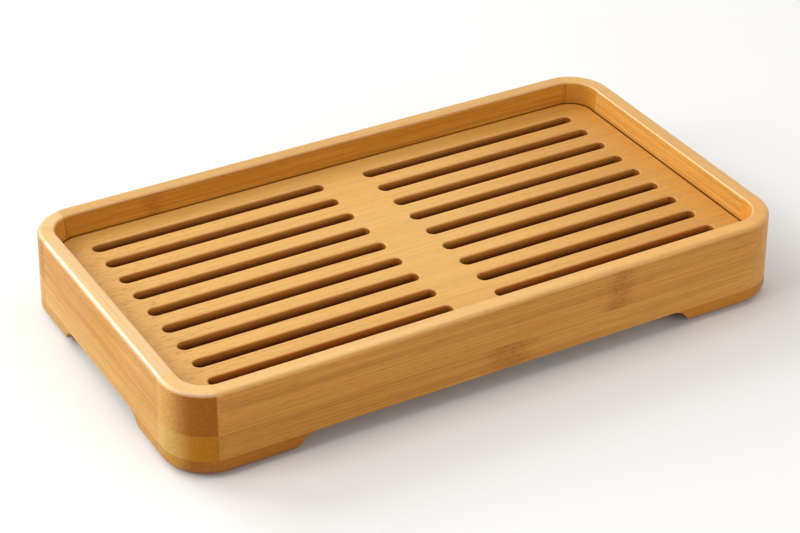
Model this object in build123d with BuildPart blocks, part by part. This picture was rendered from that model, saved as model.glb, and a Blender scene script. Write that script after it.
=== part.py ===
"""Gongfu tea tray: a bamboo frame on four feet, a slotted drain panel and a drip tray under it.

Millimetres, +Z up. The origin is on the table, under the middle of the tray. +X runs along the tray,
-Y is its front. The frame is three courses glued on top of each other: feet, a lower and an upper course.
Each of the two upper ones is four straight rails glued between four corner blocks, whose grain runs across
the corner. The whole stack is then milled to one rounded outline, a little wider at the table.
"""

import os

from build123d import *

# Outline of the tray at its rim, and how much further out each side stands at the table
tray_length = 285.0
tray_width = 156.6
corner_radius = 19.5
side_flare = 0.9

# Rails and corner blocks: the stock's width, each course's height, and a block's run along the short side
rail_width = 15.0
lower_height = 11.4
upper_height = 19.4
corner_block_run = 22.0

# The upper course is milled down to a rim round the panel, whose wall leans outwards above the panel
rim_width = 7.3
rim_wall_lean = 0.8
rim_outer_round = 2.1
rim_inner_round = 1.2

# Feet, at the corners, measured along each side from the corner of the outline
foot_height = 7.4
foot_width = 15.0
foot_reach_x = 47.7
foot_reach_y = 40.0
foot_outer_round = 3.6
foot_inner_round = 1.0
foot_rise_run = 4.6
foot_tail_run = 4.3
foot_tail_drop = 1.5
foot_toe_round = 1.8
foot_arch_round = 6.0

# Non-slip pads, stuck under the feet
pad_radius = 4.5
pad_thickness = 1.0
pad_inset = 9.2
pad_reach = 28.0
pad_edge_round = 0.3

# Drain panel
panel_thickness = 7.5
panel_gap = 0.7
panel_edge_round = 0.6
slot_rows = 9
slot_columns = 2
slot_width = 6.0
slot_end_margin = 13.1
slot_side_margin = 10.5
slot_column_gap = 20.8
slot_edge_round = 0.7

# Drip tray: a flange that rests on the lower rails, and a tub that hangs from it
flange_thickness = 1.5
flange_gap = 0.6
flange_edge_round = 0.4
tub_wall = 1.6
tub_gap = 0.8
tub_corner_radius = 8.0
tub_lean = 1.0
tub_floor_gap = 0.5
tub_floor_round = 2.4

# Base board, let into a rebate in the lower rails
base_thickness = 3.0
base_gap = 0.3
rebate_width = 7.5

# Dowels across the joints between the rails and the corner blocks of the lower course
dowel_radius = 2.5
dowel_in_corner = 5.5
dowel_in_rail = 9.0
dowel_clearance = 0.05
dowel_end_gap = 0.3
dowel_end_chamfer = 0.5

# Countersunk screws that hold the base board, driven up from below
screw_radius = 1.3
screw_length = 9.4
screw_point_length = 2.5
screw_point_radius = 0.2
screw_head_radius = 2.6
screw_clearance = 0.1
screw_spacing = 60.0
screw_columns = 3
cross_slot_length = 2.8
cross_slot_width = 0.7
cross_slot_depth = 0.9

# Cuts run this far past the solid
overrun = 2.0

# Levels, from the table up
foot_bottom = pad_thickness
lower_bottom = foot_bottom + foot_height
base_top = lower_bottom + base_thickness
tub_bottom = base_top + tub_floor_gap
upper_bottom = lower_bottom + lower_height
flange_top = upper_bottom + flange_thickness
panel_top = flange_top + panel_thickness
rim_top = upper_bottom + upper_height
dowel_level = (base_top + upper_bottom) / 2
screw_tip = lower_bottom + screw_length

# Sizes in plan that several pieces share
table_length = tray_length + 2 * side_flare
table_width = tray_width + 2 * side_flare
mouth_length = tray_length - 2 * rim_width
mouth_width = tray_width - 2 * rim_width
mouth_radius = corner_radius - rim_width
opening_length = mouth_length - 2 * rim_wall_lean
opening_width = mouth_width - 2 * rim_wall_lean
opening_radius = mouth_radius - rim_wall_lean
inside_length = tray_length - 2 * rail_width
inside_width = tray_width - 2 * rail_width
rebate_length = inside_length + 2 * rebate_width
rebate_breadth = inside_width + 2 * rebate_width
joint_x = inside_length / 2
joint_y = tray_width / 2 - corner_block_run

# Screws stand in the middle of the rebate: rows along the long rails, and one in each short rail
screw_line = rail_width - rebate_width / 2
screw_places = list(GridLocations(screw_spacing, tray_width - 2 * screw_line, screw_columns, 2))
screw_places += list(GridLocations(tray_length - 2 * screw_line, 0, 2, 1))

# Names and signs of the tray's ends and faces
ends = [("left", -1), ("right", 1)]
faces = [("front", -1), ("back", 1)]


def save(part, name):
    """Labels a finished piece and writes it."""
    part.label = name
    export_step(part, f"parts/{name}.step")


def arch(plane, half_span):
    """Outline of the gap between two feet, from their toes up to where they run out under the rail."""
    half_knee = half_span - foot_rise_run
    half_top = half_knee - foot_tail_run
    half_outline = [
        (half_top, lower_bottom + overrun),
        (half_top, lower_bottom),
        (half_knee, lower_bottom - foot_tail_drop),
        (half_span, foot_bottom),
        (half_span + foot_toe_round + overrun, foot_bottom),
        (half_span + foot_toe_round + overrun, foot_bottom - overrun),
    ]
    mirrored = [(-x, z) for x, z in reversed(half_outline)]
    with BuildSketch(plane) as outline:
        with BuildLine():
            Polyline(half_outline + mirrored, close=True)
        make_face()
        knees = outline.vertices().group_by(Axis.Y)[2]
        fillet(knees, radius=foot_arch_round)
        toes = outline.vertices().group_by(Axis.Y)[1].sort_by(Axis.X)[1:3]
        fillet(toes, radius=foot_toe_round)
    return outline.sketch


def end_plane(end, distance):
    """A plane across the tray, that far from its middle, facing its left or right end."""
    return Plane(origin=(end * distance, 0, 0), z_dir=(end, 0, 0))


def face_plane(face, distance):
    """A plane along the tray, that far from its middle, facing its front or back."""
    return Plane(origin=(0, face * distance, 0), z_dir=(0, face, 0))


def save_course(course, course_name):
    """Cuts a course into corner blocks and rails at its upright glue lines, and writes them."""
    for end_name, end in ends:
        for face_name, face in faces:
            with BuildPart() as corner_block:
                add(course)
                split(bisect_by=end_plane(end, joint_x), keep=Keep.TOP)
                split(bisect_by=face_plane(face, joint_y), keep=Keep.TOP)
            save(corner_block.part, f"{face_name}_{end_name}_corner_{course_name}")
    for end_name, end in ends:
        with BuildPart() as short_rail:
            add(course)
            split(bisect_by=end_plane(end, joint_x), keep=Keep.TOP)
            for _, face in faces:
                split(bisect_by=face_plane(face, joint_y), keep=Keep.BOTTOM)
        save(short_rail.part, f"{end_name}_rail_{course_name}")
    for face_name, face in faces:
        with BuildPart() as long_rail:
            add(course)
            split(bisect_by=face_plane(face, 0), keep=Keep.TOP)
            for _, end in ends:
                split(bisect_by=end_plane(end, joint_x), keep=Keep.BOTTOM)
        save(long_rail.part, f"{face_name}_rail_{course_name}")


def dowel_pins(radius, end_gap):
    """Pins across every joint of the lower course: the dowels, or the holes that they stand in."""
    pin_start = dowel_in_rail - end_gap
    pin_length = dowel_in_rail + dowel_in_corner - 2 * end_gap
    with BuildPart() as pins:
        for side in (-1, 1):
            with BuildSketch(Plane.YZ.offset(side * (joint_x - pin_start))):
                with Locations((0, dowel_level)):
                    with GridLocations(tray_width - rail_width, 0, 2, 1):
                        Circle(radius)
            extrude(amount=side * pin_length)
            with BuildSketch(Plane.XZ.offset(side * (joint_y - pin_start))):
                with Locations((0, dowel_level)):
                    with GridLocations(tray_length - rail_width, 0, 2, 1):
                        Circle(radius)
            extrude(amount=side * pin_length)
    return pins.part


os.makedirs("parts", exist_ok=True)

# Outside of the whole stack, from the table to the rim, which every course is cut from
with BuildPart() as outside:
    with BuildSketch():
        RectangleRounded(table_length, table_width, corner_radius + side_flare)
    with BuildSketch(Plane.XY.offset(rim_top)):
        RectangleRounded(tray_length, tray_width, corner_radius)
    loft()

# Upper course, milled inside to the opening that holds the panel, with its top edges rounded
with BuildPart() as upper_course:
    add(outside.part)
    split(bisect_by=Plane.XY.offset(upper_bottom), keep=Keep.TOP)
    with BuildSketch(Plane.XY.offset(upper_bottom)):
        RectangleRounded(opening_length, opening_width, opening_radius)
    extrude(amount=panel_top - upper_bottom, mode=Mode.SUBTRACT)
    with BuildSketch(Plane.XY.offset(panel_top)):
        RectangleRounded(opening_length, opening_width, opening_radius)
    with BuildSketch(Plane.XY.offset(rim_top)):
        RectangleRounded(mouth_length, mouth_width, mouth_radius)
    loft(mode=Mode.SUBTRACT)
    fillet(upper_course.faces().sort_by(Axis.Z)[-1].outer_wire().edges(), radius=rim_outer_round)
    fillet(upper_course.faces().sort_by(Axis.Z)[-1].inner_wires()[0].edges(), radius=rim_inner_round)
save_course(upper_course.part, "upper")

# Lower course, with a rebate below for the base board, and holes for the dowels and screws
with BuildPart() as lower_course:
    add(outside.part)
    split(bisect_by=Plane.XY.offset(upper_bottom), keep=Keep.BOTTOM)
    split(bisect_by=Plane.XY.offset(lower_bottom), keep=Keep.TOP)
    with BuildSketch(Plane.XY.offset(lower_bottom)):
        Rectangle(inside_length, inside_width)
    extrude(amount=lower_height, mode=Mode.SUBTRACT)
    with BuildSketch(Plane.XY.offset(lower_bottom)):
        Rectangle(rebate_length, rebate_breadth)
    extrude(amount=base_thickness, mode=Mode.SUBTRACT)
    add(dowel_pins(dowel_radius + dowel_clearance, 0), mode=Mode.SUBTRACT)
    with BuildSketch(Plane.XY.offset(base_top)):
        with Locations(*screw_places):
            Circle(screw_radius + screw_clearance)
    extrude(amount=screw_tip + screw_clearance - base_top, mode=Mode.SUBTRACT)
save_course(lower_course.part, "lower")

# Feet: a course of its own, cut into its four corners by the arches between them
with BuildPart() as foot_course:
    add(outside.part)
    split(bisect_by=Plane.XY.offset(lower_bottom), keep=Keep.BOTTOM)
    split(bisect_by=Plane.XY.offset(foot_bottom), keep=Keep.TOP)
    with BuildSketch(Plane.XY.offset(foot_bottom)):
        RectangleRounded(
            tray_length - 2 * foot_width,
            tray_width - 2 * foot_width,
            corner_radius - foot_width,
        )
    extrude(amount=foot_height, mode=Mode.SUBTRACT)
    fillet(foot_course.faces().sort_by(Axis.Z)[0].outer_wire().edges(), radius=foot_outer_round)
    fillet(foot_course.faces().sort_by(Axis.Z)[0].inner_wires()[0].edges(), radius=foot_inner_round)
    long_arch = arch(Plane.XZ, tray_length / 2 - foot_reach_x)
    extrude(long_arch, amount=tray_width / 2 + overrun, both=True, mode=Mode.SUBTRACT)
    short_arch = arch(Plane.YZ, tray_width / 2 - foot_reach_y)
    extrude(short_arch, amount=tray_length / 2 + overrun, both=True, mode=Mode.SUBTRACT)

for end_name, end in ends:
    for face_name, face in faces:
        with BuildPart() as foot:
            add(foot_course.part)
            split(bisect_by=end_plane(end, 0), keep=Keep.TOP)
            split(bisect_by=face_plane(face, 0), keep=Keep.TOP)
        save(foot.part, f"{face_name}_{end_name}_foot")

# Non-slip pads, one under the long leg of each foot
for end_name, end in ends:
    for face_name, face in faces:
        with BuildPart() as pad:
            with BuildSketch():
                with Locations((end * (tray_length / 2 - pad_reach), face * (tray_width / 2 - pad_inset))):
                    Circle(pad_radius)
            extrude(amount=pad_thickness)
            fillet(pad.faces().sort_by(Axis.Z)[0].edges(), radius=pad_edge_round)
        save(pad.part, f"{face_name}_{end_name}_foot_pad")

# Dowels, two in each corner block of the lower course
with BuildPart() as corner_dowels:
    add(dowel_pins(dowel_radius, dowel_end_gap))
    chamfer(corner_dowels.edges().filter_by(GeomType.CIRCLE), length=dowel_end_chamfer)
save(corner_dowels.part, "corner_dowels")

# Base board, countersunk from below for the screws, whose heads taper at 45 degrees
screw_head_height = screw_head_radius - screw_radius
with BuildPart() as base_board:
    with BuildSketch(Plane.XY.offset(lower_bottom)):
        Rectangle(rebate_length - 2 * base_gap, rebate_breadth - 2 * base_gap)
    extrude(amount=base_thickness)
    with BuildSketch(Plane.XY.offset(lower_bottom)):
        with Locations(*screw_places):
            Circle(screw_radius + screw_clearance)
    extrude(amount=base_thickness, mode=Mode.SUBTRACT)
    sunk_rims = base_board.faces().sort_by(Axis.Z)[0].inner_wires()
    chamfer([wire.edges()[0] for wire in sunk_rims], length=screw_head_height)
save(base_board.part, "base_board")

# Base screws: a countersunk head with a cross slot, a shank and a point
with BuildPart() as base_screw:
    with BuildSketch(Plane.XZ):
        with BuildLine():
            Polyline(
                (0, 0),
                (screw_head_radius, 0),
                (screw_radius, screw_head_height),
                (screw_radius, screw_length - screw_point_length),
                (screw_point_radius, screw_length),
                (0, screw_length),
                close=True,
            )
        make_face()
    revolve(axis=Axis.Z)
    with BuildSketch():
        Rectangle(cross_slot_length, cross_slot_width)
        Rectangle(cross_slot_width, cross_slot_length)
    extrude(amount=cross_slot_depth, mode=Mode.SUBTRACT)

with BuildPart() as base_screws:
    with Locations(Plane.XY.offset(lower_bottom)):
        with Locations(*screw_places):
            add(base_screw.part)
save(base_screws.part, "base_screws")

# Drip tray: the flange lies on the lower course, inside the rim, and the tub hangs within that course
flange_length = opening_length - 2 * flange_gap
flange_width = opening_width - 2 * flange_gap
tub_length = inside_length - 2 * tub_gap
tub_width = inside_width - 2 * tub_gap
tub_floor_length = tub_length - 2 * tub_lean
tub_floor_width = tub_width - 2 * tub_lean
floor_top = tub_bottom + tub_wall
with BuildPart() as drip_tray:
    with BuildSketch(Plane.XY.offset(tub_bottom)):
        RectangleRounded(tub_floor_length, tub_floor_width, tub_corner_radius)
    with BuildSketch(Plane.XY.offset(upper_bottom)):
        RectangleRounded(tub_length, tub_width, tub_corner_radius)
    loft()
    fillet(drip_tray.faces().sort_by(Axis.Z)[0].edges(), radius=tub_floor_round)
    with BuildSketch(Plane.XY.offset(upper_bottom)):
        RectangleRounded(flange_length, flange_width, opening_radius - flange_gap)
    extrude(amount=flange_thickness)
    fillet(drip_tray.faces().sort_by(Axis.Z)[-1].edges(), radius=flange_edge_round)
    with BuildSketch(Plane.XY.offset(floor_top)):
        RectangleRounded(
            tub_floor_length - 2 * tub_wall,
            tub_floor_width - 2 * tub_wall,
            tub_corner_radius - tub_wall,
        )
    with BuildSketch(Plane.XY.offset(flange_top)):
        RectangleRounded(tub_length - 2 * tub_wall, tub_width - 2 * tub_wall, tub_corner_radius - tub_wall)
    loft(mode=Mode.SUBTRACT)
    inner_floor = drip_tray.faces().filter_by(Axis.Z).sort_by(Axis.Z)[1]
    fillet(inner_floor.edges(), radius=tub_floor_round)
save(drip_tray.part, "drip_tray")

# Drain panel: rows of round-ended slots in two columns, with every top edge eased
panel_length = opening_length - 2 * panel_gap
panel_width = opening_width - 2 * panel_gap
slot_length = (panel_length - 2 * slot_end_margin - slot_column_gap) / slot_columns
slot_pitch = (panel_width - 2 * slot_side_margin - slot_width) / (slot_rows - 1)
with BuildPart() as drain_panel:
    with BuildSketch(Plane.XY.offset(flange_top)):
        RectangleRounded(panel_length, panel_width, opening_radius - panel_gap)
    extrude(amount=panel_thickness)
    fillet(drain_panel.faces().sort_by(Axis.Z)[-1].edges(), radius=panel_edge_round)
    fillet(drain_panel.faces().sort_by(Axis.Z)[0].edges(), radius=panel_edge_round)
    with BuildSketch(Plane.XY.offset(flange_top)):
        with GridLocations(slot_length + slot_column_gap, slot_pitch, slot_columns, slot_rows):
            SlotOverall(slot_length, slot_width)
    extrude(amount=panel_thickness, mode=Mode.SUBTRACT)
    slot_edges = [wire.edges() for wire in drain_panel.faces().sort_by(Axis.Z)[-1].inner_wires()]
    fillet(slot_edges, radius=slot_edge_round)
save(drain_panel.part, "drain_panel")
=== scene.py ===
# Gongfu tea tray in bamboo: finishes, floor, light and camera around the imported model
import math

import bpy
from mathutils import Matrix, Vector

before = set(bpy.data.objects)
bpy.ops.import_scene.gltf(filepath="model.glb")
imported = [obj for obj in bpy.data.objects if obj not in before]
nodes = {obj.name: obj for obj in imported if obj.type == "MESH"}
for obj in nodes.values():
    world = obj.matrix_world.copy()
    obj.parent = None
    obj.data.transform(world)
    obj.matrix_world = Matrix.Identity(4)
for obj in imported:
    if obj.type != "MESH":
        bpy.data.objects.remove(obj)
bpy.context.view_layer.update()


# Small helpers for shader trees

mixSockets = {"share": 0, "first": 6, "second": 7, "result": 2}  # socket numbers for a mix of colours


def addNode(tree, kind, place, **settings):
    node = tree.nodes.new(kind)
    node.location = place
    for key, value in settings.items():
        setattr(node, key, value)
    return node


def feed(tree, socket, value):
    if isinstance(value, bpy.types.NodeSocket):
        tree.links.new(value, socket)
    else:
        socket.default_value = value


def compute(tree, operation, place, *values, clamp=False):
    node = addNode(tree, "ShaderNodeMath", place, operation=operation, use_clamp=clamp)
    for socket, value in zip(node.inputs, values):
        feed(tree, socket, value)
    return node.outputs[0]


def computeVector(tree, operation, place, *vectors):
    node = addNode(tree, "ShaderNodeVectorMath", place, operation=operation)
    for socket, vector in zip(node.inputs, vectors):
        feed(tree, socket, vector)
    return node.outputs


def splitVector(tree, place, vector):
    node = addNode(tree, "ShaderNodeSeparateXYZ", place)
    feed(tree, node.inputs[0], vector)
    return node.outputs


def turnAboutZ(tree, place, vector, angle):
    node = addNode(tree, "ShaderNodeVectorRotate", place, rotation_type="Z_AXIS")
    feed(tree, node.inputs["Vector"], vector)
    feed(tree, node.inputs["Angle"], angle)
    return node.outputs[0]


def srgb(red, green, blue):
    def linear(channel):
        share = channel / 255
        return share / 12.92 if share <= 0.04045 else ((share + 0.055) / 1.055) ** 2.4
    return (linear(red), linear(green), linear(blue), 1.0)


def mixColour(tree, place, share, first, second, blend="MIX"):
    node = addNode(tree, "ShaderNodeMix", place, data_type="RGBA", blend_type=blend)
    feed(tree, node.inputs[mixSockets["share"]], share)
    feed(tree, node.inputs[mixSockets["first"]], first)
    feed(tree, node.inputs[mixSockets["second"]], second)
    return node.outputs[mixSockets["result"]]


def tint(tree, place, share, colour, passing):
    return mixColour(tree, place, share, colour, passing + (1.0,), blend="MULTIPLY")


def ramp(tree, place, value, low, high, outLow=0.0, outHigh=1.0, smooth=True):
    node = addNode(tree, "ShaderNodeMapRange", place)
    node.interpolation_type = "SMOOTHSTEP" if smooth else "LINEAR"
    for socket, number in zip(node.inputs, (value, low, high, outLow, outHigh)):
        feed(tree, socket, number)
    return node.outputs[0]


# A pattern's scale is in features per metre, one number or one for each axis
def noise(tree, place, vector, pattern):
    scale = pattern["scale"]
    if isinstance(scale, tuple):
        vector = computeVector(tree, "MULTIPLY", (place[0] - 250, place[1]), vector, scale)[0]
        scale = 1.0
    node = addNode(tree, "ShaderNodeTexNoise", place)
    feed(tree, node.inputs["Vector"], vector)
    feed(tree, node.inputs["Scale"], scale)
    node.inputs["Detail"].default_value = pattern["detail"]
    node.inputs["Roughness"].default_value = pattern["rough"]
    return node.outputs["Fac"]


def noiseRamp(tree, place, vector, pattern, smooth=True):
    value = noise(tree, place, vector, pattern)
    return ramp(tree, (place[0] + 300, place[1]), value, pattern["from"], pattern["to"], smooth=smooth)


def bumpNormal(tree, place, height, look):
    bump = addNode(tree, "ShaderNodeBump", place)
    bump.inputs["Strength"].default_value = look["bump"]
    bump.inputs["Distance"].default_value = look["bumpDepth"]
    feed(tree, bump.inputs["Height"], height)
    return bump.outputs[0]


def startGroup(name, inputs, outputs):
    tree = bpy.data.node_groups.new(name, "ShaderNodeTree")
    for label, kind, value in inputs:
        socket = tree.interface.new_socket(name=label, in_out="INPUT", socket_type="NodeSocket" + kind)
        if value is not None:
            socket.default_value = value
    for label, kind in outputs:
        tree.interface.new_socket(name=label, in_out="OUTPUT", socket_type="NodeSocket" + kind)
    start = addNode(tree, "NodeGroupInput", (-1400, 0))
    end = addNode(tree, "NodeGroupOutput", (1400, 0))
    return tree, start.outputs, end.inputs


def placeGroup(tree, group, place, **values):
    node = addNode(tree, "ShaderNodeGroup", place, node_tree=group)
    for label, value in values.items():
        feed(tree, node.inputs[label], value)
    return node.outputs


def startMaterial(name):
    material = bpy.data.materials.new(name)
    material.use_nodes = True
    material.node_tree.nodes.clear()
    return material, material.node_tree


def endMaterial(tree, place, shader):
    output = addNode(tree, "ShaderNodeOutputMaterial", place)
    feed(tree, output.inputs[0], shader.outputs[0])


def coat(node, material):
    nodes[node].data.materials.clear()
    nodes[node].data.materials.append(material)


# Grain space: turns the point and the normal so that the grain runs along X
# It also tells end grain, tops and round edges

grainSpaceLook = {
    "seedSteps": (0.61, 0.37, 0.83),  # metres that the pattern moves for each whole seed
    "topFrom": 0.45,  # how far up a face looks where it starts to count as a top, and where it is one
    "topTo": 0.95,
    "roundFrom": 0.2,  # the same for a round edge, which ends again towards the level top
    "roundTo": 0.5,
    "levelFrom": 0.88,
    "levelTo": 0.985,
}


def buildGrainSpace():
    look = grainSpaceLook
    tree, given, out = startGroup(
        "grainSpace",
        [("Point", "Vector", None), ("Facing", "Vector", None), ("Turn", "Float", 0.0),
         ("Seed", "Float", 0.0)],
        [("Point", "Vector"), ("Along", "Float"), ("Across", "Float"), ("End", "Float"), ("Top", "Float"),
         ("Round", "Float")],
    )
    turned = turnAboutZ(tree, (-1100, 200), given["Point"], given["Turn"])
    shift = addNode(tree, "ShaderNodeCombineXYZ", (-1100, 0))
    for axis, step in enumerate(look["seedSteps"]):
        feed(tree, shift.inputs[axis], compute(tree, "MULTIPLY", (-1300, -150 * axis), given["Seed"], step))
    feed(tree, out["Point"], computeVector(tree, "ADD", (-850, 200), turned, shift.outputs[0])[0])
    own = splitVector(tree, (-850, 400), turned)
    feed(tree, out["Along"], own[0])
    feed(tree, out["Across"], own[1])

    facing = splitVector(tree, (-850, -450), turnAboutZ(tree, (-1100, -450), given["Facing"], given["Turn"]))
    feed(tree, out["End"], compute(tree, "ABSOLUTE", (-600, -450), facing[0]))
    feed(tree, out["Top"], ramp(tree, (-600, -650), facing[2], look["topFrom"], look["topTo"]))
    leaning = ramp(tree, (-600, -850), facing[2], look["roundFrom"], look["roundTo"])
    level = ramp(tree, (-600, -1050), facing[2], look["levelFrom"], look["levelTo"], 1.0, 0.0)
    feed(tree, out["Round"], compute(tree, "MULTIPLY", (-300, -950), leaning, level))
    return tree


# Bamboo fibres: fine straight streaks, broad bands, short dark dashes, grit, and dots where the bundles end

fibreLook = {
    "Streaks": {"scale": (14.0, 1350.0, 1350.0), "detail": 2.0, "rough": 0.65, "from": 0.40, "to": 0.62},
    "Bands": {"scale": (6.0, 260.0, 260.0), "detail": 2.5, "rough": 0.55, "from": 0.34, "to": 0.68},
    "Dashes": {"scale": (210.0, 2300.0, 2300.0), "detail": 0.5, "rough": 0.5, "from": 0.54, "to": 0.70},
    "Grit": {"scale": (600.0, 2600.0, 2600.0), "detail": 0.5, "rough": 0.6, "from": 0.42, "to": 0.60},
    "dotStretch": (0.08, 1.0, 1.0),  # the bundles are long along the grain
    "dotCore": 0.20,  # a dot is full up to here, in dot sizes, and gone at its rim
    "dotRim": 0.50,
    "faintestDot": 0.25,
}


def buildFibres():
    look = fibreLook
    tree, given, out = startGroup(
        "bambooFibres",
        [("Point", "Vector", None), ("Dot Size", "Float", 0.0008)],
        [("Streaks", "Float"), ("Bands", "Float"), ("Dashes", "Float"), ("Dots", "Float"), ("Grit", "Float")],
    )
    point = given["Point"]
    for row, label in enumerate(("Streaks", "Bands", "Dashes", "Grit")):
        fading = label == "Dashes"  # the others are crisp at their rims
        feed(tree, out[label], noiseRamp(tree, (-900, 600 - 250 * row), point, look[label], smooth=fading))

    stretched = computeVector(tree, "MULTIPLY", (-1150, -400), point, look["dotStretch"])[0]
    bundles = addNode(tree, "ShaderNodeTexVoronoi", (-900, -400), feature="F1")
    feed(tree, bundles.inputs["Vector"], stretched)
    feed(tree, bundles.inputs["Scale"], compute(tree, "DIVIDE", (-1150, -550), 1.0, given["Dot Size"]))
    disc = ramp(tree, (-600, -400), bundles.outputs["Distance"], look["dotCore"], look["dotRim"], 1.0, 0.0)
    strength = addNode(tree, "ShaderNodeSeparateColor", (-600, -600))
    feed(tree, strength.inputs[0], bundles.outputs["Color"])
    uneven = ramp(tree, (-400, -600), strength.outputs[0], 0.0, 1.0, look["faintestDot"], 1.0)
    feed(tree, out["Dots"], compute(tree, "MULTIPLY", (-200, -500), disc, uneven))
    return tree


# Knuckle: where the culm had a joint, a soft brown patch crossed by broken marks

knuckleLook = {
    "sway": {"scale": (60.0, 170.0, 170.0), "detail": 2.0, "rough": 0.5},
    "swing": 0.012,  # metres that it sways along the grain
    "core": 0.1,  # in widths: where the patch starts to fade, and where it is gone
    "rim": 1.6,
    "marks": {"scale": (620.0, 1100.0, 1100.0), "detail": 2.0, "rough": 0.6, "from": 0.5, "to": 0.66},
}


def buildKnuckle():
    look = knuckleLook
    tree, given, out = startGroup(
        "bambooKnuckle",
        [("Point", "Vector", None), ("At", "Float", 0.0), ("Width", "Float", 0.005)],
        [("Patch", "Float"), ("Marks", "Float")],
    )
    point = given["Point"]
    alongGrain = splitVector(tree, (-1150, 200), point)[0]
    sway = compute(tree, "SUBTRACT", (-700, 0), noise(tree, (-900, 0), point, look["sway"]), 0.5)
    bend = compute(tree, "MULTIPLY", (-500, 0), sway, look["swing"])
    along = compute(tree, "SUBTRACT", (-700, 200), alongGrain, given["At"])
    along = compute(tree, "ADD", (-500, 200), along, bend)
    away = compute(tree, "DIVIDE", (-100, 200), compute(tree, "ABSOLUTE", (-300, 200), along), given["Width"])
    patch = ramp(tree, (100, 200), away, look["core"], look["rim"], 1.0, 0.0)
    feed(tree, out["Patch"], patch)
    marks = noiseRamp(tree, (-900, -300), point, look["marks"])
    feed(tree, out["Marks"], compute(tree, "MULTIPLY", (300, 0), marks, patch))
    return tree


# Strips: the glued strips of the board, each of its own tone, with a fine seam between them

seamLook = {"core": 0.00002, "rim": 0.00018}  # metres from the joint where a seam is full, and gone


def buildStrips():
    tree, given, out = startGroup(
        "bambooStrips",
        [("Point", "Vector", None), ("Strip Wide", "Float", 0.02), ("Strip Thick", "Float", 0.006)],
        [("Tone", "Float"), ("Seam", "Float")],
    )
    parts = splitVector(tree, (-1200, 0), given["Point"])
    cell = addNode(tree, "ShaderNodeCombineXYZ", (-600, 0))
    fromJoints = []
    strip = ((parts[1], given["Strip Wide"]), (parts[2], given["Strip Thick"]))
    for step, (across, size) in enumerate(strip):
        row = 100 - 200 * step
        counted = compute(tree, "DIVIDE", (-1000, row), across, size)
        feed(tree, cell.inputs[step], compute(tree, "FLOOR", (-800, row), counted))
        nearJoint = compute(tree, "PINGPONG", (-600, row + 350), counted, 0.5)
        fromJoints.append(compute(tree, "MULTIPLY", (-400, row + 350), nearJoint, size))
    tone = addNode(tree, "ShaderNodeTexWhiteNoise", (-400, 0), noise_dimensions="3D")
    feed(tree, tone.inputs["Vector"], cell.outputs[0])
    feed(tree, out["Tone"], tone.outputs["Value"])
    nearest = compute(tree, "MINIMUM", (-200, 250), *fromJoints)
    feed(tree, out["Seam"], ramp(tree, (0, 250), nearest, seamLook["core"], seamLook["rim"], 1.0, 0.0))
    return tree


# Painted shade in recesses: below the level that teaware stands on, inside a rounded rectangle around the
# tray's middle, so down the slots and in the gap around the panel

recessShadeLook = {
    "cornerCentre": (0.123, 0.0588),  # centre of each corner's arcs, from the tray's middle
    "fadeSpan": 0.003,  # height over which the shade goes
    "left": 0.15,  # share of it that is left below that
}


def buildRecessShade():
    look = recessShadeLook
    tree, given, out = startGroup(
        "recessShadeGroup",
        [("Point", "Vector", None), ("Reach", "Float", 0.0), ("Level", "Float", 0.0),
         ("Depth", "Float", 0.004), ("Fade", "Float", 0.02)],
        [("Mask", "Float")],
    )
    parts = splitVector(tree, (-1150, 0), given["Point"])
    beyond = addNode(tree, "ShaderNodeCombineXYZ", (-500, 200))
    for axis, reach in enumerate(look["cornerCentre"]):
        row = 200 - 150 * axis
        fromMiddle = compute(tree, "ABSOLUTE", (-950, row), parts[axis])
        past = compute(tree, "SUBTRACT", (-800, row), fromMiddle, reach)
        feed(tree, beyond.inputs[axis], compute(tree, "MAXIMUM", (-650, row), past, 0.0))
    far = computeVector(tree, "LENGTH", (-300, 200), beyond.outputs[0])["Value"]
    inside = compute(tree, "LESS_THAN", (-100, 200), far, given["Reach"])
    full = compute(tree, "SUBTRACT", (-500, -200), given["Level"], given["Depth"])
    sunk = ramp(tree, (-300, -200), parts[2], full, given["Level"], 1.0, 0.0, smooth=False)
    faded = compute(tree, "SUBTRACT", (-500, -400), given["Level"], given["Fade"])
    gone = compute(tree, "SUBTRACT", (-300, -500), faded, look["fadeSpan"])
    left = ramp(tree, (-100, -400), parts[2], gone, faded, look["left"], 1.0)
    sunk = compute(tree, "MULTIPLY", (100, -200), sunk, left)
    feed(tree, out["Mask"], compute(tree, "MULTIPLY", (300, 0), inside, sunk))
    return tree


# Rubbed edges: a mask of the convex edges, from how far a rounded normal turns from the true one

rubLook = {
    "samples": 4,
    "matchFull": 0.75,  # how alike the two normals are where the edge is fully rubbed, and where it isn't
    "matchNone": 0.995,
    "patches": {"scale": 220.0, "detail": 3.0, "rough": 0.6, "from": 0.35, "to": 0.65},
}


def buildRubbedEdges():
    look = rubLook
    tree, given, out = startGroup(
        "rubbedEdges",
        [("Radius", "Float", 0.001), ("Point", "Vector", None)],
        [("Mask", "Float")],
    )
    rounded = addNode(tree, "ShaderNodeBevel", (-900, 100), samples=look["samples"])
    feed(tree, rounded.inputs["Radius"], given["Radius"])
    true = addNode(tree, "ShaderNodeNewGeometry", (-900, -150))
    match = computeVector(tree, "DOT_PRODUCT", (-600, 0), rounded.outputs[0], true.outputs["Normal"])["Value"]
    turned = ramp(tree, (-350, 0), match, look["matchFull"], look["matchNone"], 1.0, 0.0)
    uneven = noiseRamp(tree, (-650, -300), given["Point"], look["patches"])
    feed(tree, out["Mask"], compute(tree, "MULTIPLY", (0, -100), turned, uneven, clamp=True))
    return tree


# Handling: soft patches where the surface is a little duller

smudgeLook = {"scale": 38.0, "detail": 3.0, "rough": 0.55, "from": 0.38, "to": 0.66}


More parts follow.
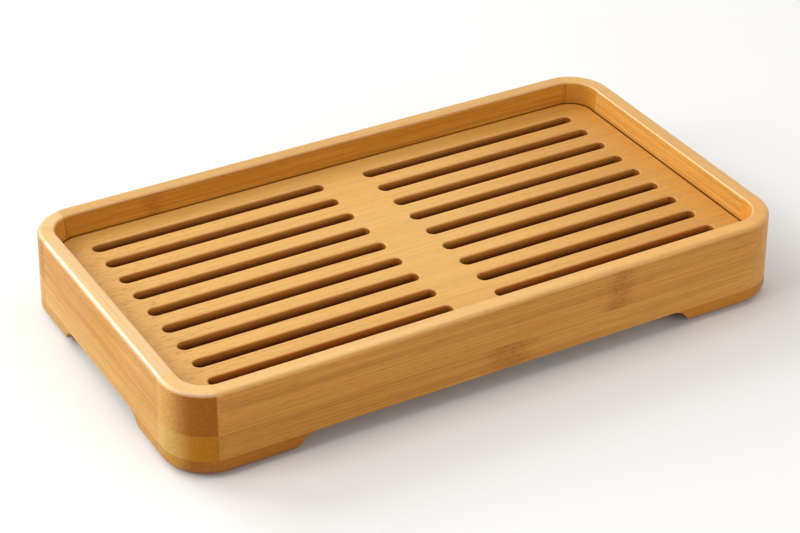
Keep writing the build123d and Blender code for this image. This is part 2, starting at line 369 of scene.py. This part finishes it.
def buildHandling():
    tree, given, out = startGroup("handling", [("Point", "Vector", None)], [("Smudge", "Float")])
    feed(tree, out["Smudge"], noiseRamp(tree, (-700, 150), given["Point"], smudgeLook))
    return tree


grainSpace = buildGrainSpace()
fibres = buildFibres()
knuckle = buildKnuckle()
strips = buildStrips()
recessShadeGroup = buildRecessShade()
rubbedEdges = buildRubbedEdges()
handling = buildHandling()
print("shader groups built")


# Bamboo: every piece has its own tones, grain direction and strips

bambooDefaults = {
    "side": (236, 166, 72),  # tone of the upright faces, with painted shade: darker and more saturated than the tops
    "top": (226, 175, 102),  # tone of the faces that look up, with painted light: paler than the upright faces
    "dark": (0.72, 0.62, 0.48),  # what the dark streaks and bands let through of that tone
    "end": (0.86, 0.78, 0.64),  # the same for end grain, which soaks up more lacquer
    "bundle": (0.42, 0.32, 0.20),  # and for the fibre bundles
    "turn": 0.0,  # radians about Z that bring the grain to X
    "seed": 0.0,
    "stripWide": 0.02,
    "stripThick": 0.04,
    "seamShare": 0.3,
    "toneShare": 0.2,  # how much of the dark tone the strips, streaks, bands and dashes take up
    "streakShare": 0.5,
    "bandShare": 0.35,
    "dashShare": 0.3,
    "roughEnd": 0.0,  # more dashes at the near end of the grain, from roughFrom to roughTo
    "roughFrom": -0.085,
    "roughTo": -0.125,
    "topCalm": 0.5,  # how much of all these is left on the sanded tops
    "endFrom": 0.10,  # how far a face looks along the grain where its end grain starts, and where it is full
    "endTo": 0.75,
    "endOnEdges": 0.3,  # how much of it is left on the polished round edges
    "endDots": 1.0,
    "dotsTo": 0.7,  # share of end grain from which the dots are full
    "dotSize": 0.0008,
    "gritShare": 0.5,  # fine grit of the end grain
    "driftShade": (0.80, 0.66, 0.42),  # painted shade: what the top lets through at the far end of its grain, where the lamps reach less
    "driftAxis": "Along",  # or Across, for a drift from one side of the grain to the other
    "driftFrom": 0.02,  # where on that axis it starts, and where it is full
    "driftTo": 0.13,
    "driftShare": 0.0,
    "sideDriftShare": 0.0,  # the same for the upright faces
    "edge": (255, 227, 192),  # painted highlight on the round edges, where the lamp behind the tray catches them
    "edgeShare": 0.15,
    "rubRadius": 0.0007,  # convex edges, rubbed towards the tone of the top
    "rubShare": 0.25,
    "recessShadeTint": (0.21, 0.09, 0.012),  # what the painted shade in the slots and the gap lets through, where it is deepest
    "recessShadeTop": 0.0291,  # level that the painted shade starts from, and how far below that it is full
    "recessShadeDepth": 0.0006,
    "recessShadeFade": 0.0015,  # how far below that level it starts to go
    "recessShadeReach": 0.0158,  # how far out from the centres of the corners it goes: to the middle of the walls
    "recessShadeShare": 0.0,
    "knuckleAt": 1.0,  # where along the grain a knuckle of the culm crosses, here beyond the piece
    "knuckleWidth": 0.005,
    "knuckleShare": 0.8,
    "patchShare": 0.5,  # how much of a knuckle its soft patch and its marks make up
    "marksShare": 0.65,
    "knuckle": (0.62, 0.44, 0.24),  # what a knuckle lets through
    "roughness": 0.40,
    "streakRoughness": 0.06,  # how much rougher the streaks and the smudges are
    "smudgeRoughness": 0.08,
    "specular": 0.3,
    "coat": 0.18,
    "edgeCoat": 0.45,
    "smudgeCoat": 0.75,  # how much of the coat still shines under a smudge
    "coatRoughness": 0.2,
    "bump": 0.05,
    "bumpDepth": 0.0004,
    "streakHeight": -0.5,
    "dotHeight": -0.8,
    "seamHeight": -0.8,
}


def woodTone(tree, look, space):
    # painted shade drifting along or across the grain, darker where the lamps reach less
    drifted = ramp(tree, (-1500, 600), space[look["driftAxis"]], look["driftFrom"], look["driftTo"])
    topDrift = compute(tree, "MULTIPLY", (-1300, 700), drifted, look["driftShare"])
    upward = tint(tree, (-1100, 700), topDrift, srgb(*look["top"]), look["driftShade"])
    sideDrift = compute(tree, "MULTIPLY", (-1300, 500), drifted, look["sideDriftShare"])
    upright = tint(tree, (-1100, 500), sideDrift, srgb(*look["side"]), look["driftShade"])
    # painted light on the faces that look up, painted shade on the upright ones
    colour = mixColour(tree, (-900, 400), space["Top"], upright, upward)
    # painted highlight on the round edges
    highlighted = compute(tree, "MULTIPLY", (-900, 600), space["Round"], look["edgeShare"])
    return mixColour(tree, (-700, 400), highlighted, colour, srgb(*look["edge"]))


def addStreaks(tree, look, space, fibre, strip, colour):
    torn = ramp(tree, (-1100, -250), space["Along"], look["roughTo"], look["roughFrom"],
                look["dashShare"] + look["roughEnd"], look["dashShare"])
    depth = compute(tree, "MULTIPLY", (-900, 200), fibre["Streaks"], look["streakShare"])
    others = ((fibre["Bands"], look["bandShare"]), (strip["Tone"], look["toneShare"]),
              (fibre["Dashes"], torn))
    for step, (mask, share) in enumerate(others):
        taken = compute(tree, "MULTIPLY", (-900, 50 - 150 * step), mask, share)
        depth = compute(tree, "ADD", (-700 + 200 * step, 200), depth, taken)
    calm = ramp(tree, (-500, 0), space["Top"], 0.0, 1.0, 1.0, look["topCalm"])
    depth = compute(tree, "MULTIPLY", (-200, 50), depth, calm)
    return tint(tree, (-100, 300), depth, colour, look["dark"])


def findEndGrain(tree, look, space):
    polished = ramp(tree, (-1100, -300), space["Round"], 0.0, 1.0, 1.0, look["endOnEdges"])
    facingEnd = ramp(tree, (-900, -400), space["End"], look["endFrom"], look["endTo"])
    return compute(tree, "MULTIPLY", (-700, -250), polished, facingEnd)


def addEndGrain(tree, look, fibre, endShare, colour):
    colour = tint(tree, (100, 300), endShare, colour, look["end"])
    dotShare = ramp(tree, (-700, -400), endShare, 0.0, look["dotsTo"], 0.0, look["endDots"])
    dotted = compute(tree, "MULTIPLY", (-500, -400), fibre["Dots"], dotShare)
    colour = tint(tree, (300, 300), dotted, colour, look["bundle"])
    gritty = compute(tree, "MULTIPLY", (-700, -550), fibre["Grit"], look["gritShare"])
    gritty = compute(tree, "MULTIPLY", (-500, -550), gritty, endShare)
    return tint(tree, (500, 300), gritty, colour, look["bundle"])


# painted shade in the slots and in the gap around the panel
def addRecessShade(tree, look, point, colour):
    recessShaded = placeGroup(tree, recessShadeGroup, (-700, -750), Point=point, Reach=look["recessShadeReach"],
                         Level=look["recessShadeTop"], Depth=look["recessShadeDepth"], Fade=look["recessShadeFade"])
    sunk = compute(tree, "MULTIPLY", (-500, -750), recessShaded["Mask"], look["recessShadeShare"])
    return tint(tree, (600, 450), sunk, colour, look["recessShadeTint"])


def addKnuckle(tree, look, space, colour):
    at = look["knuckleAt"] + grainSpaceLook["seedSteps"][0] * look["seed"]
    joint = placeGroup(tree, knuckle, (-1200, -400), Point=space["Point"], At=at, Width=look["knuckleWidth"])
    patch = compute(tree, "MULTIPLY", (-300, -150), joint["Patch"], look["patchShare"])
    marks = compute(tree, "MULTIPLY", (-300, -300), joint["Marks"], look["marksShare"])
    patched = compute(tree, "ADD", (-100, -200), patch, marks)
    upward = compute(tree, "MAXIMUM", (-500, -50), space["Top"], space["Round"])
    upright = compute(tree, "SUBTRACT", (-300, -50), 1.0, upward)
    patched = compute(tree, "MULTIPLY", (0, -200), patched, upright)
    patched = compute(tree, "MULTIPLY", (100, -200), patched, look["knuckleShare"])
    return tint(tree, (700, 300), patched, colour, look["knuckle"])


def addShine(tree, look, shader, space, fibre, touch):
    streaked = compute(tree, "MULTIPLY", (700, -350), fibre["Streaks"], look["streakRoughness"])
    rough = compute(tree, "ADD", (900, -300), streaked, look["roughness"])
    smudged = compute(tree, "MULTIPLY", (900, -450), touch["Smudge"], look["smudgeRoughness"])
    feed(tree, shader.inputs["Roughness"], compute(tree, "ADD", (1100, -300), rough, smudged))
    shader.inputs["Specular IOR Level"].default_value = look["specular"]
    shine = ramp(tree, (900, -550), space["Round"], 0.0, 1.0, look["coat"], look["edgeCoat"])
    clear = ramp(tree, (1100, -500), touch["Smudge"], 0.0, 1.0, 1.0, look["smudgeCoat"])
    feed(tree, shader.inputs["Coat Weight"], compute(tree, "MULTIPLY", (1300, -450), shine, clear))
    shader.inputs["Coat Roughness"].default_value = look["coatRoughness"]


def addRelief(tree, look, shader, fibre, strip, endShare):
    relief = compute(tree, "MULTIPLY", (700, -650), fibre["Streaks"], look["streakHeight"])
    dotHeight = compute(tree, "MULTIPLY", (500, -800), endShare, look["dotHeight"])
    others = ((fibre["Dots"], dotHeight), (strip["Seam"], look["seamHeight"]))
    for step, (mask, height) in enumerate(others):
        sunk = compute(tree, "MULTIPLY", (700, -800 - 150 * step), mask, height)
        relief = compute(tree, "ADD", (900 + 150 * step, -650), relief, sunk)
    feed(tree, shader.inputs["Normal"], bumpNormal(tree, (1200, -600), relief, look))


def bambooMaterial(name, changes):
    look = {**bambooDefaults, **changes}
    material, tree = startMaterial(name)
    place = addNode(tree, "ShaderNodeTexCoord", (-1800, 0))
    point, facing = place.outputs["Object"], place.outputs["Normal"]
    space = placeGroup(tree, grainSpace, (-1500, 0), Point=point, Facing=facing, Turn=look["turn"],
                       Seed=look["seed"])
    fibre = placeGroup(tree, fibres, (-1200, 200), Point=space["Point"], **{"Dot Size": look["dotSize"]})
    strip = placeGroup(tree, strips, (-1200, -200), Point=space["Point"],
                       **{"Strip Wide": look["stripWide"], "Strip Thick": look["stripThick"]})
    worn = placeGroup(tree, rubbedEdges, (-1200, -600), Point=point, Radius=look["rubRadius"])
    touch = placeGroup(tree, handling, (-1200, -800), Point=point)

    colour = woodTone(tree, look, space)
    colour = addStreaks(tree, look, space, fibre, strip, colour)
    endShare = findEndGrain(tree, look, space)
    colour = addEndGrain(tree, look, fibre, endShare, colour)
    if look["recessShadeShare"]:
        colour = addRecessShade(tree, look, point, colour)
    colour = addKnuckle(tree, look, space, colour)
    seam = compute(tree, "MULTIPLY", (300, -200), strip["Seam"], look["seamShare"])
    colour = tint(tree, (900, 300), seam, colour, look["bundle"])
    rubbed = compute(tree, "MULTIPLY", (500, -200), worn["Mask"], look["rubShare"])
    colour = mixColour(tree, (1100, 300), rubbed, colour, srgb(*look["top"]))

    shader = addNode(tree, "ShaderNodeBsdfPrincipled", (1500, 100))
    feed(tree, shader.inputs["Base Color"], colour)
    addShine(tree, look, shader, space, fibre, touch)
    addRelief(tree, look, shader, fibre, strip, endShare)
    endMaterial(tree, (1800, 100), shader)
    return material


recessShadeOnUpper = {"recessShadeShare": 0.9}  # painted shade in the gap that the upper course stands around


def coatWithBamboo(looks, **shared):
    for nodeName, changes in looks.items():
        recessChanges = recessShadeOnUpper if nodeName.endswith("upper") else {}
        coat(nodeName, bambooMaterial("bamboo_" + nodeName, {**shared, **recessChanges, **changes}))


quarterTurn = math.pi / 2
# Rails: the upright tones carry painted shade, darkest on the back rail's inner wall, and the tops carry
# painted light, palest on the left rail
railLooks = {
    "front_rail_upper": {"seed": 1, "knuckleAt": 0.056, "knuckleWidth": 0.006, "side": (240, 169, 72),
                         "top": (241, 193, 122), "driftShare": 0.6, "driftFrom": -0.06,
                         "driftShade": (0.97, 0.76, 0.38), "edge": (255, 225, 160), "edgeCoat": 0.2},
    "front_rail_lower": {"seed": 2, "knuckleAt": 0.003, "knuckleWidth": 0.009, "side": (250, 180, 84),
                         "streakShare": 0.6, "sideDriftShare": 1.0, "driftFrom": 0.09, "driftTo": -0.06,
                         "driftShade": (0.83, 0.79, 0.60)},
    "back_rail_upper": {"seed": 3, "knuckleAt": -0.085, "knuckleShare": 0.7, "side": (215, 150, 46),
                        "streakShare": 0.7, "recessShadeShare": 0.6},
    "back_rail_lower": {"seed": 4, "knuckleAt": 0.055, "knuckleShare": 0.7},
    "left_rail_upper": {"seed": 5, "turn": quarterTurn, "side": (246, 178, 72), "top": (237, 197, 140),
                        "edgeShare": 0.6, "edgeCoat": 1.0, "streakShare": 0.9, "bandShare": 0.3,
                        "topCalm": 0.3},
    "left_rail_lower": {"seed": 6, "turn": quarterTurn, "side": (253, 194, 98), "streakShare": 0.8,
                        "bandShare": 0.3},
    "right_rail_upper": {"seed": 7, "turn": quarterTurn, "side": (240, 184, 90), "streakShare": 0.8},
    "right_rail_lower": {"seed": 8, "turn": quarterTurn},
}
coatWithBamboo(railLooks)

# Corner blocks: their grain runs across the corner, so the round face is end grain
# It is boldest at the front left, with painted shade across its round face: light beside the left rail and
# dark towards the front
eighthTurn = quarterTurn / 2
boldEnd = {"end": (1.0, 0.97, 0.90), "coat": 0.0, "gritShare": 0.4, "endDots": 0.4, "dotSize": 0.0005,
           "streakShare": 0.1, "bandShare": 0.1, "toneShare": 0.05, "edgeShare": 0.35, "edgeCoat": 0.5,
           "sideDriftShare": 1.0, "driftAxis": "Across"}
calmEnd = {"end": (0.97, 0.95, 0.90), "gritShare": 0.12, "endDots": 0.2, "streakShare": 0.2, "bandShare": 0.3}
cornerLooks = {
    "front_left_corner_upper": {"seed": 31, "turn": -eighthTurn, "side": (255, 195, 100),
                                "top": (238, 192, 126), "driftFrom": 0.0562, "driftTo": 0.0440,
                                "driftShade": (0.50, 0.30, 0.0), **boldEnd},
    "front_left_corner_lower": {"seed": 32, "turn": -eighthTurn, "side": (255, 208, 118),
                                "driftFrom": 0.0545, "driftTo": 0.0430, "driftShade": (0.67, 0.41, 0.0),
                                **boldEnd},
    "front_right_corner_upper": {"seed": 33, "turn": eighthTurn, "side": (246, 177, 76),
                                 "top": (232, 172, 92), **calmEnd},
    "front_right_corner_lower": {"seed": 34, "turn": eighthTurn, "side": (248, 180, 80), **calmEnd},
    "back_left_corner_upper": {"seed": 35, "turn": eighthTurn, "side": (224, 158, 54),
                               "top": (238, 194, 130), "recessShadeShare": 0.6, **calmEnd},
    "back_left_corner_lower": {"seed": 36, "turn": eighthTurn, "side": (252, 190, 90), **calmEnd},
    "back_right_corner_upper": {"seed": 37, "turn": -eighthTurn, "side": (218, 156, 56), "recessShadeShare": 0.8,
                                **calmEnd},
    "back_right_corner_lower": {"seed": 38, "turn": -eighthTurn, **calmEnd},
}
coatWithBamboo(cornerLooks)

# Feet: painted shade makes the front left one dark on its front, and the right ones darker than the left ones
footLooks = {
    "front_left_foot": {"seed": 10, "side": (255, 195, 79), "sideDriftShare": 1.0, "driftFrom": -0.1425,
                        "driftTo": -0.1365, "driftShade": (0.56, 0.36, 0.03)},
    "front_right_foot": {"seed": 11, "side": (220, 143, 36)},
    "back_left_foot": {"seed": 12, "side": (255, 204, 90)},
    "back_right_foot": {"seed": 13, "side": (214, 140, 56)},
}
coatWithBamboo(footLooks, gritShare=0.2, endDots=0.3)

# Drain panel, with painted shade down its slots and towards its right end, and the plainer board and dowels
# under it
boardLooks = {
    "drain_panel": {"seed": 20, "top": (231, 178, 97), "driftShade": (0.84, 0.71, 0.44), "driftShare": 1.0,
                    "stripWide": 0.042, "stripThick": 0.02, "toneShare": 0.15, "streakShare": 0.25,
                    "bandShare": 0.2, "dashShare": 0.25, "roughEnd": 0.6, "topCalm": 1.0, "recessShadeTop": 0.0285,
                    "recessShadeDepth": 0.004, "recessShadeFade": 0.02, "recessShadeReach": 0.006, "recessShadeShare": 1.0,
                    "edgeShare": 0.1, "edgeCoat": 0.3},
    "base_board": {"seed": 21, "coat": 0.05, "roughness": 0.6, "top": (224, 176, 116)},
    "corner_dowels": {"seed": 22, "coat": 0.0, "roughness": 0.7},
}
coatWithBamboo(boardLooks)
print("bamboo finished")


# Drip tray and foot pads: dark brown moulded plastic with a fine spark-eroded grain, and black rubber

mouldedDefaults = {
    "grainDetail": 2.0,
    "grainRough": 0.6,
    "grainFrom": 0.3,  # height in the grain at which the surface is smoothest, and at which it is roughest
    "grainTo": 0.7,
    "smoother": 0.05,  # how far the roughness goes down and up with it
    "rougher": 0.08,
    "rubRadius": 0.0008,
    "rubShare": 0.5,
    "dustShare": 0.25,
    "bumpDepth": 0.0002,
}
dripTrayLook = {
    "colour": (38, 22, 14),
    "worn": (70, 48, 36),
    "roughness": 0.46,
    "grainSize": 0.0004,
    "bump": 0.12,
}
padLook = {
    "colour": (34, 33, 32),
    "worn": (66, 63, 60),
    "roughness": 0.75,
    "grainSize": 0.0003,
    "bump": 0.2,
}


def mouldedMaterial(name, changes):
    look = {**mouldedDefaults, **changes}
    material, tree = startMaterial(name)
    point = addNode(tree, "ShaderNodeTexCoord", (-1200, 0)).outputs["Object"]
    worn = placeGroup(tree, rubbedEdges, (-900, -200), Point=point, Radius=look["rubRadius"])
    touch = placeGroup(tree, handling, (-900, -400), Point=point)
    pattern = {"scale": 1 / look["grainSize"], "detail": look["grainDetail"], "rough": look["grainRough"]}
    grain = noise(tree, (-900, 200), point, pattern)
    dusted = compute(tree, "MULTIPLY", (-700, -300), touch["Smudge"], look["dustShare"])
    colour = mixColour(tree, (-500, 100), dusted, srgb(*look["colour"]), srgb(*look["worn"]))
    rubbed = compute(tree, "MULTIPLY", (-500, -100), worn["Mask"], look["rubShare"])
    colour = mixColour(tree, (-300, 100), rubbed, colour, srgb(*look["worn"]))
    rough = ramp(tree, (-100, -200), grain, look["grainFrom"], look["grainTo"],
                 look["roughness"] - look["smoother"], look["roughness"] + look["rougher"])
    shader = addNode(tree, "ShaderNodeBsdfPrincipled", (200, 0))
    feed(tree, shader.inputs["Base Color"], colour)
    feed(tree, shader.inputs["Roughness"], rough)
    feed(tree, shader.inputs["Normal"], bumpNormal(tree, (-100, -450), grain, look))
    endMaterial(tree, (500, 0), shader)
    return material


coat("drip_tray", mouldedMaterial("moulded_drip_tray", dripTrayLook))
padRubber = mouldedMaterial("rubber_pads", padLook)
for padName in [name for name in nodes if name.endswith("_foot_pad")]:
    coat(padName, padRubber)
print("drip tray and pads finished")


# Base screws: yellow zinc plate, a little cloudy

screwLook = {
    "colour": (196, 168, 106),
    "shadow": (120, 96, 58),
    "cloud": {"scale": 900.0, "detail": 3.0, "rough": 0.6},
    "shadowFrom": 0.35,  # where the cloud starts to darken the plate, and where it is full
    "shadowTo": 0.7,
    "dullFrom": 0.3,  # the same where it dulls the plate
    "dullTo": 0.7,
    "roughness": 0.34,
    "rougher": 0.15,
}


def platedMaterial(name, look):
    material, tree = startMaterial(name)
    point = addNode(tree, "ShaderNodeTexCoord", (-1000, 0)).outputs["Object"]
    cloud = noise(tree, (-800, 100), point, look["cloud"])
    clouded = ramp(tree, (-600, 100), cloud, look["shadowFrom"], look["shadowTo"])
    colour = mixColour(tree, (-400, 100), clouded, srgb(*look["colour"]), srgb(*look["shadow"]))
    rough = ramp(tree, (-400, -150), cloud, look["dullFrom"], look["dullTo"], look["roughness"],
                 look["roughness"] + look["rougher"])
    shader = addNode(tree, "ShaderNodeBsdfPrincipled", (0, 0))
    feed(tree, shader.inputs["Base Color"], colour)
    shader.inputs["Metallic"].default_value = 1.0
    feed(tree, shader.inputs["Roughness"], rough)
    endMaterial(tree, (300, 0), shader)
    return material


coat("base_screws", platedMaterial("zinc_base_screws", screwLook))
print("screws finished")


# Floor: pale and matt, and a little brighter to the camera far away, so that it meets the sky

floorLook = {
    "colour": (246, 245, 243),
    "bounce": (150, 149, 147),  # what it is to the light that it throws back at the tray
    "roughness": 0.9,
    "reach": 3.0,
    "glowFrom": 0.6,
    "glowTo": 2.4,
    "glow": 0.6,
}
black = (0, 0, 0, 1)
white = (1, 1, 1, 1)


def seenMask(tree):
    ray = addNode(tree, "ShaderNodeLightPath", (-700, 0)).outputs
    seen = compute(tree, "MAXIMUM", (-500, 0), ray["Is Camera Ray"], ray["Is Glossy Ray"])
    return compute(tree, "MAXIMUM", (-500, -150), seen, ray["Is Transmission Ray"]), ray["Is Camera Ray"]


def floorMaterial(name, look):
    material = bpy.data.materials.new(name)
    material.use_nodes = True
    tree = material.node_tree
    shader = tree.nodes["Principled BSDF"]
    seen, camera = seenMask(tree)
    colour = mixColour(tree, (-300, 0), seen, srgb(*look["bounce"]), srgb(*look["colour"]))
    feed(tree, shader.inputs["Base Color"], colour)
    shader.inputs["Roughness"].default_value = look["roughness"]
    spot = addNode(tree, "ShaderNodeNewGeometry", (-900, -400)).outputs["Position"]
    away = computeVector(tree, "LENGTH", (-700, -400), spot)["Value"]
    far = ramp(tree, (-500, -400), away, look["glowFrom"], look["glowTo"], 0.0, look["glow"])
    glow = compute(tree, "MULTIPLY", (-300, -300), far, camera)
    feed(tree, shader.inputs["Emission Color"], mixColour(tree, (-100, -300), glow, black, white))
    shader.inputs["Emission Strength"].default_value = 1.0
    return material


def buildFloor():
    reach = floorLook["reach"]
    corners = [(-reach, -reach, 0), (reach, -reach, 0), (reach, reach, 0), (-reach, reach, 0)]
    mesh = bpy.data.meshes.new("floor")
    mesh.from_pydata(corners, [], [(0, 1, 2, 3)])
    mesh.materials.append(floorMaterial("pale_floor", floorLook))
    floor = bpy.data.objects.new("floor", mesh)
    bpy.context.scene.collection.objects.link(floor)


buildFloor()


# Light: a broad lamp behind and to the left that draws the rim's edge, and softer ones around it

lampLooks = {
    "behind": {"towards": (-0.40, 0.74, 0.54), "distance": 1.7, "wide": 1.1, "tall": 0.9, "power": 17.0},
    "left": {"towards": (-0.80, 0.08, 0.56), "distance": 1.6, "wide": 0.9, "tall": 0.9, "power": 10.0},
    "above": {"towards": (0.10, 0.12, 1.0), "distance": 1.7, "wide": 1.3, "tall": 1.3, "power": 6.0},
    "front": {"towards": (0.42, -0.86, 0.34), "distance": 1.8, "wide": 1.2, "tall": 0.9, "power": 7.5},
}
lampsAimAt = (0, 0, 0.02)
skyLook = {"colour": (1.0, 0.995, 0.985, 1.0), "light": 0.38, "seen": 1.0}


def buildLamps():
    for lampName, look in lampLooks.items():
        lamp = bpy.data.lights.new(lampName, "AREA")
        lamp.shape = "RECTANGLE"
        lamp.energy = look["power"]
        lamp.size = look["wide"]
        lamp.size_y = look["tall"]
        stand = bpy.data.objects.new(lampName, lamp)
        towards = Vector(look["towards"]).normalized()
        stand.location = Vector(lampsAimAt) + towards * look["distance"]
        stand.rotation_euler = towards.to_track_quat("Z", "Y").to_euler()
        bpy.context.scene.collection.objects.link(stand)


def buildSky():
    world = bpy.data.worlds.new("studio")
    world.use_nodes = True
    tree = world.node_tree
    sky = tree.nodes["Background"]
    sky.inputs["Color"].default_value = skyLook["colour"]
    seen = seenMask(tree)[0]
    strength = ramp(tree, (-300, 0), seen, 0.0, 1.0, skyLook["light"], skyLook["seen"])
    feed(tree, sky.inputs["Strength"], strength)
    bpy.context.scene.world = world


buildLamps()
buildSky()
print("floor and light ready")


# Camera, at the photograph's angle

cameraLook = {
    "azimuth": math.radians(-30.140),
    "elevation": math.radians(32.165),
    "roll": math.radians(0.596),
    "distance": 1.00027,
    "target": (-0.000315, 0.004623, 0.011927),
    "lens": 104.05,
    "sensorWidth": 36.0,
    "clipStart": 0.01,
}


def buildCamera():
    side, rise, roll = cameraLook["azimuth"], cameraLook["elevation"], cameraLook["roll"]
    back = Vector((math.sin(side) * math.cos(rise), -math.cos(side) * math.cos(rise), math.sin(rise)))
    right = (-back).cross(Vector((0, 0, 1))).normalized()
    up = right.cross(-back)
    rightRolled = math.cos(roll) * right + math.sin(roll) * up
    upRolled = -math.sin(roll) * right + math.cos(roll) * up
    camera = bpy.data.objects.new("camera", bpy.data.cameras.new("camera"))
    camera.data.lens = cameraLook["lens"]
    camera.data.sensor_width = cameraLook["sensorWidth"]
    camera.data.clip_start = cameraLook["clipStart"]
    turn = Matrix((rightRolled, upRolled, back)).transposed().to_4x4()
    place = Vector(cameraLook["target"]) + back * cameraLook["distance"]
    camera.matrix_world = Matrix.Translation(place) @ turn
    bpy.context.scene.collection.objects.link(camera)
    bpy.context.scene.camera = camera


buildCamera()
bpy.context.scene.view_settings.view_transform = "Standard"
print("camera ready")
